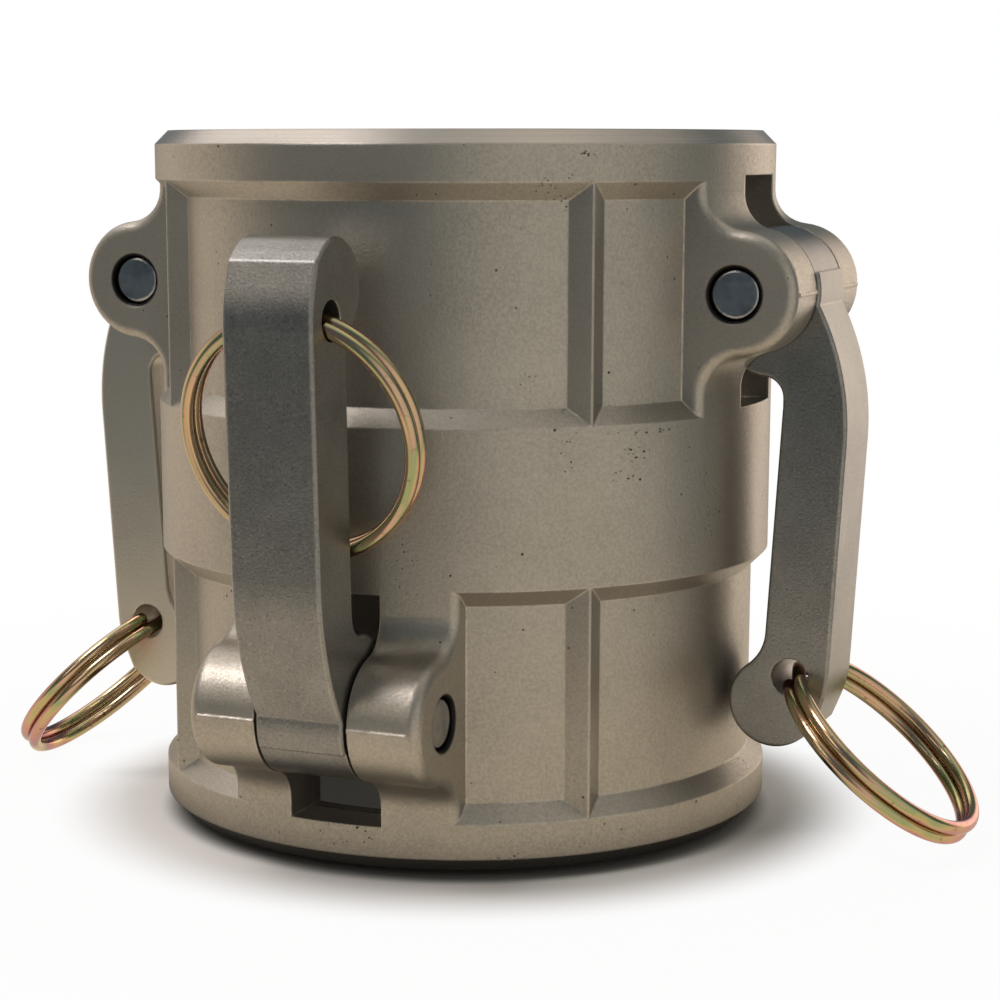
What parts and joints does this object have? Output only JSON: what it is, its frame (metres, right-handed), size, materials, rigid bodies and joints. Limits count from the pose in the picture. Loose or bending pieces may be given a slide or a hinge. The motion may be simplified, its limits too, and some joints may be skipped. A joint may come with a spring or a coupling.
{
  "type": "camlock spool coupling",
  "caption": "Double-ended camlock coupling: cast spool body with a gasketed socket at each end, closed by hinged cam arms with pull rings.",
  "frame": {"origin": "centre of the lower end face, on the flow axis", "axes": "+Z along the flow axis from the lower socket to the upper one; the upper lugs are on +X and -X, the lower lugs on +Y and -Y"},
  "size_m": [0.1356, 0.1116, 0.0881],
  "materials": {
    "cast_aluminium": "satin sand-cast aluminium with machined end chamfers",
    "arm_steel": "blasted grey investment-cast steel",
    "pin_steel": "polished",
    "ring_plated_steel": "iridescent yellow zinc plate",
    "gasket_rubber": "matt black nitrile"
  },
  "bodies": {
    "root": {"spool_body": "cast_aluminium", "lower_gasket": "gasket_rubber", "upper_gasket": "gasket_rubber", "upper_right_pin": "pin_steel", "upper_left_pin": "pin_steel", "lower_front_pin": "pin_steel", "lower_back_pin": "pin_steel"},
    "upper_right_arm": {"upper_right_arm": "arm_steel"},
    "upper_right_ring": {"upper_right_ring": "ring_plated_steel"},
    "upper_left_arm": {"upper_left_arm": "arm_steel"},
    "upper_left_ring": {"upper_left_ring": "ring_plated_steel"},
    "lower_front_arm": {"lower_front_arm": "arm_steel"},
    "lower_front_ring": {"lower_front_ring": "ring_plated_steel"},
    "lower_back_arm": {"lower_back_arm": "arm_steel"},
    "lower_back_ring": {"lower_back_ring": "ring_plated_steel"}
  },
  "joints": [
    {"name": "upper_right_arm_pivot", "type": "hinge", "parent": "root", "child": "upper_right_arm", "pos_m": [0.0408, 0, 0.0678], "axis": [0, -1, 0], "range_deg": [-0.6, 119.4]},
    {"name": "upper_right_ring_swing", "type": "hinge", "parent": "upper_right_arm", "child": "upper_right_ring", "pos_m": [0.0461, 0, 0.02025], "axis": [0, -1, 0], "range_deg": [-60, 112]},
    {"name": "upper_left_arm_pivot", "type": "hinge", "parent": "root", "child": "upper_left_arm", "pos_m": [-0.0408, 0, 0.0678], "axis": [0, 1, 0], "range_deg": [0, 120]},
    {"name": "upper_left_ring_swing", "type": "hinge", "parent": "upper_left_arm", "child": "upper_left_ring", "pos_m": [-0.0456, 0, 0.0202], "axis": [0, 1, 0], "range_deg": [-57, 116]},
    {"name": "lower_front_arm_pivot", "type": "hinge", "parent": "root", "child": "lower_front_arm", "pos_m": [0, -0.0408, 0.0192], "axis": [1, 0, 0], "range_deg": [-3, 114.2]},
    {"name": "lower_front_ring_swing", "type": "hinge", "parent": "lower_front_arm", "child": "lower_front_ring", "pos_m": [0, -0.05039, 0.06607], "axis": [1, 0, 0], "range_deg": [-1, 1.4]},
    {"name": "lower_back_arm_pivot", "type": "hinge", "parent": "root", "child": "lower_back_arm", "pos_m": [0, 0.0408, 0.0192], "axis": [-1, 0, 0], "range_deg": [0, 120]},
    {"name": "lower_back_ring_swing", "type": "hinge", "parent": "lower_back_arm", "child": "lower_back_ring", "pos_m": [0, 0.0456, 0.0668], "axis": [-1, 0, 0], "range_deg": [-172, 0.4]}
  ]
}
